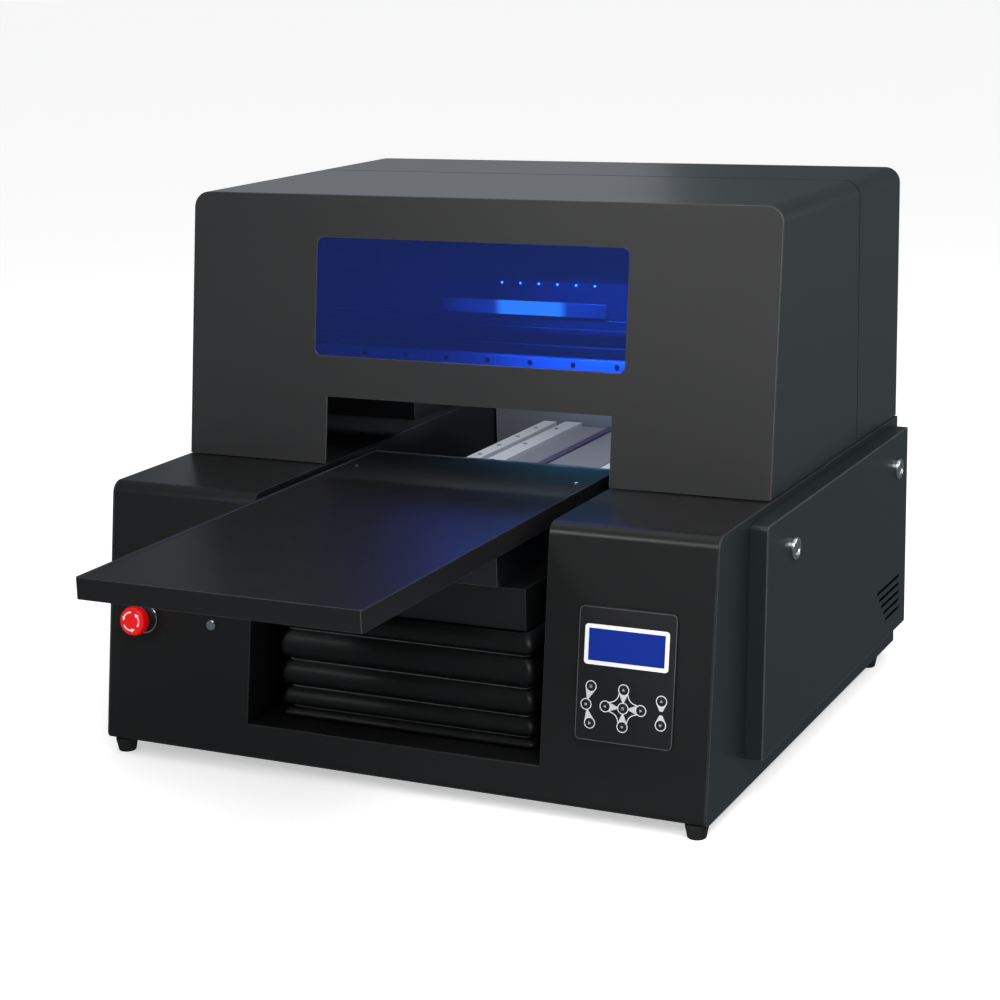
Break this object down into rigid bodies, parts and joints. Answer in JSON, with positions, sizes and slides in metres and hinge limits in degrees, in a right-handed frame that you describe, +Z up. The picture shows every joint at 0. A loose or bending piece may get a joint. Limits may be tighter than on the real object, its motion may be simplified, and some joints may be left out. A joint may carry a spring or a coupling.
{
  "type": "flatbed uv printer",
  "caption": "Desktop flatbed UV printer: black cabinet, tilting hood with blue window, sliding bed tray on a bellowed lift, print carriage, keypad and stop button.",
  "frame": {"origin": "on the standing surface, under the middle of the machine's box with its tray run out", "axes": "+Z up; the machine's front faces -Y; +X is on the right of someone facing the front"},
  "size_m": [0.846, 1.085, 0.67],
  "materials": {
    "cabinet_paint": "satin black powder coat",
    "hood_paint": "satin charcoal paint",
    "inner_black": "matt black",
    "gantry_black": "black anodised extrusion",
    "tray_black": "black anodised",
    "rubber_black": "matt",
    "chrome": "polished",
    "aluminium": "milled",
    "steel": "ground",
    "blue_acrylic": "clear blue acrylic",
    "overlay": "fine matt film",
    "white_plastic": "satin",
    "lcd_blue": "backlit glass",
    "red_plastic": "glossy",
    "black_plastic": "moulded"
  },
  "bodies": {
    "base": {"base_front_cover": "cabinet_paint", "base_side_left": "cabinet_paint", "base_side_right": "cabinet_paint", "base_floor": "cabinet_paint", "base_rear_panel": "cabinet_paint", "bay_liner": "inner_black", "foot_front_left": "rubber_black", "foot_front_right": "rubber_black", "foot_rear_left": "rubber_black", "foot_rear_right": "rubber_black", "side_cover_left": "cabinet_paint", "side_cover_right": "cabinet_paint", "control_overlay": "overlay", "lcd_bezel": "white_plastic", "lcd_screen": "lcd_blue", "stop_collar": "black_plastic", "hood_rear_cover": "hood_paint", "lid_hinge_rod": "steel", "gantry_frame": "gantry_black", "x_rail": "steel", "x_belt": "rubber_black", "x_motor": "inner_black", "ink_tank_rack": "black_plastic", "fan_frame": "black_plastic", "power_inlet": "black_plastic", "lift_bellows": "rubber_black"},
    "lid": {"hood_lid_shell": "hood_paint", "hood_front_plate": "hood_paint", "window_pane": "blue_acrylic"},
    "lift": {"lift_platform": "inner_black", "y_base": "aluminium", "y_rail_left": "steel", "y_rail_right": "steel"},
    "tray": {"bed_tray": "tray_black", "tray_slider": "aluminium"},
    "screw_left": {"lift_screw_left": "steel"},
    "screw_right": {"lift_screw_right": "steel"},
    "carriage": {"print_carriage": "gantry_black", "print_head": "gantry_black", "uv_lamp": "aluminium"},
    "drive_pulley": {"x_drive_pulley": "aluminium"},
    "idler_pulley": {"x_idler_pulley": "aluminium"},
    "stop": {"stop_button": "red_plastic"},
    "key": {"key_lock": "chrome"},
    "rocker": {"power_rocker": "red_plastic"},
    "fan": {"fan_rotor": "black_plastic"},
    "key_menu": {"button_menu": "overlay"},
    "key_back": {"button_back": "overlay"},
    "key_run": {"button_run": "overlay"},
    "key_in": {"button_in": "overlay"},
    "key_left": {"button_left": "overlay"},
    "key_ok": {"button_ok": "overlay"},
    "key_right": {"button_right": "overlay"},
    "key_out": {"button_out": "overlay"},
    "key_up": {"button_up": "overlay"},
    "key_down": {"button_down": "overlay"},
    "lock_left_front": {"cover_lock_left_front": "chrome"},
    "lock_left_rear": {"cover_lock_left_rear": "chrome"},
    "lock_right_front": {"cover_lock_right_front": "chrome"},
    "lock_right_rear": {"cover_lock_right_rear": "chrome"}
  },
  "joints": [
    {"name": "lid_hinge", "type": "hinge", "parent": "base", "child": "lid", "pos_m": [0, 0.358, 0.6691], "axis": [-1, 0, 0], "range_deg": [0, 65]},
    {"name": "lift", "type": "slide", "parent": "base", "child": "lift", "axis": [0, 0, 1], "range_m": [-0.08, 0], "deforming": ["lift_bellows"]},
    {"name": "tray_slide", "type": "slide", "parent": "lift", "child": "tray", "axis": [0, 1, 0], "range_m": [0, 0.39]},
    {"name": "carriage_slide", "type": "slide", "parent": "base", "child": "carriage", "axis": [1, 0, 0], "range_m": [-0.52, 0]},
    {"name": "screw_left_turn", "type": "hinge", "parent": "base", "child": "screw_left", "pos_m": [-0.142, 0, 0.0608], "axis": [0, 0, 1], "continuous": true},
    {"name": "screw_right_turn", "type": "hinge", "parent": "base", "child": "screw_right", "pos_m": [0.142, 0, 0.0608], "axis": [0, 0, 1], "continuous": true},
    {"name": "drive_pulley_turn", "type": "hinge", "parent": "base", "child": "drive_pulley", "pos_m": [0.335, 0.17, 0.487], "axis": [0, 1, 0], "continuous": true},
    {"name": "idler_pulley_turn", "type": "hinge", "parent": "base", "child": "idler_pulley", "pos_m": [-0.335, 0.17, 0.487], "axis": [0, 1, 0], "continuous": true},
    {"name": "stop_press", "type": "slide", "parent": "base", "child": "stop", "axis": [0, 0.9889, -0.1483], "range_m": [0, 0.005], "stiffness_N_per_m": 1500},
    {"name": "key_turn", "type": "hinge", "parent": "base", "child": "key", "pos_m": [-0.248, -0.17792, 0.1745], "axis": [0, -0.9889, 0.1483], "range_deg": [0, 90]},
    {"name": "lock_left_front_turn", "type": "hinge", "parent": "base", "child": "lock_left_front", "pos_m": [-0.418, 0.032, 0.2805], "axis": [1, 0, 0], "range_deg": [0, 90]},
    {"name": "lock_left_rear_turn", "type": "hinge", "parent": "base", "child": "lock_left_rear", "pos_m": [-0.418, 0.467, 0.2805], "axis": [1, 0, 0], "range_deg": [0, 90]},
    {"name": "lock_right_front_turn", "type": "hinge", "parent": "base", "child": "lock_right_front", "pos_m": [0.418, 0.032, 0.2805], "axis": [-1, 0, 0], "range_deg": [0, 90]},
    {"name": "lock_right_rear_turn", "type": "hinge", "parent": "base", "child": "lock_right_rear", "pos_m": [0.418, 0.467, 0.2805], "axis": [-1, 0, 0], "range_deg": [0, 90]},
    {"name": "press_menu", "type": "slide", "parent": "base", "child": "key_menu", "axis": [0, 0.9889, -0.1483], "range_m": [0, 0.0007], "stiffness_N_per_m": 600},
    {"name": "press_back", "type": "slide", "parent": "base", "child": "key_back", "axis": [0, 0.9889, -0.1483], "range_m": [0, 0.0007], "stiffness_N_per_m": 600},
    {"name": "press_run", "type": "slide", "parent": "base", "child": "key_run", "axis": [0, 0.9889, -0.1483], "range_m": [0, 0.0007], "stiffness_N_per_m": 600},
    {"name": "press_in", "type": "slide", "parent": "base", "child": "key_in", "axis": [0, 0.9889, -0.1483], "range_m": [0, 0.0007], "stiffness_N_per_m": 600},
    {"name": "press_left", "type": "slide", "parent": "base", "child": "key_left", "axis": [0, 0.9889, -0.1483], "range_m": [0, 0.0007], "stiffness_N_per_m": 600},
    {"name": "press_ok", "type": "slide", "parent": "base", "child": "key_ok", "axis": [0, 0.9889, -0.1483], "range_m": [0, 0.0007], "stiffness_N_per_m": 600},
    {"name": "press_right", "type": "slide", "parent": "base", "child": "key_right", "axis": [0, 0.9889, -0.1483], "range_m": [0, 0.0007], "stiffness_N_per_m": 600},
    {"name": "press_out", "type": "slide", "parent": "base", "child": "key_out", "axis": [0, 0.9889, -0.1483], "range_m": [0, 0.0007], "stiffness_N_per_m": 600},
    {"name": "press_up", "type": "slide", "parent": "base", "child": "key_up", "axis": [0, 0.9889, -0.1483], "range_m": [0, 0.0007], "stiffness_N_per_m": 600},
    {"name": "press_down", "type": "slide", "parent": "base", "child": "key_down", "axis": [0, 0.9889, -0.1483], "range_m": [0, 0.0007], "stiffness_N_per_m": 600},
    {"name": "power_switch", "type": "hinge", "parent": "base", "child": "rocker", "pos_m": [-0.3, 0.538, 0.105], "axis": [1, 0, 0], "range_deg": [0, 16]},
    {"name": "fan_spin", "type": "hinge", "parent": "base", "child": "fan", "pos_m": [0.27, 0.5329, 0.2], "axis": [0, 1, 0], "continuous": true}
  ],
  "couplings": [
    {"joint": "screw_left_turn", "follows": "lift", "rad_per_m": 628.32},
    {"joint": "screw_right_turn", "follows": "lift", "rad_per_m": 628.32},
    {"joint": "drive_pulley_turn", "follows": "carriage_slide", "rad_per_m": 90.498},
    {"joint": "idler_pulley_turn", "follows": "carriage_slide", "rad_per_m": 90.498}
  ]
}
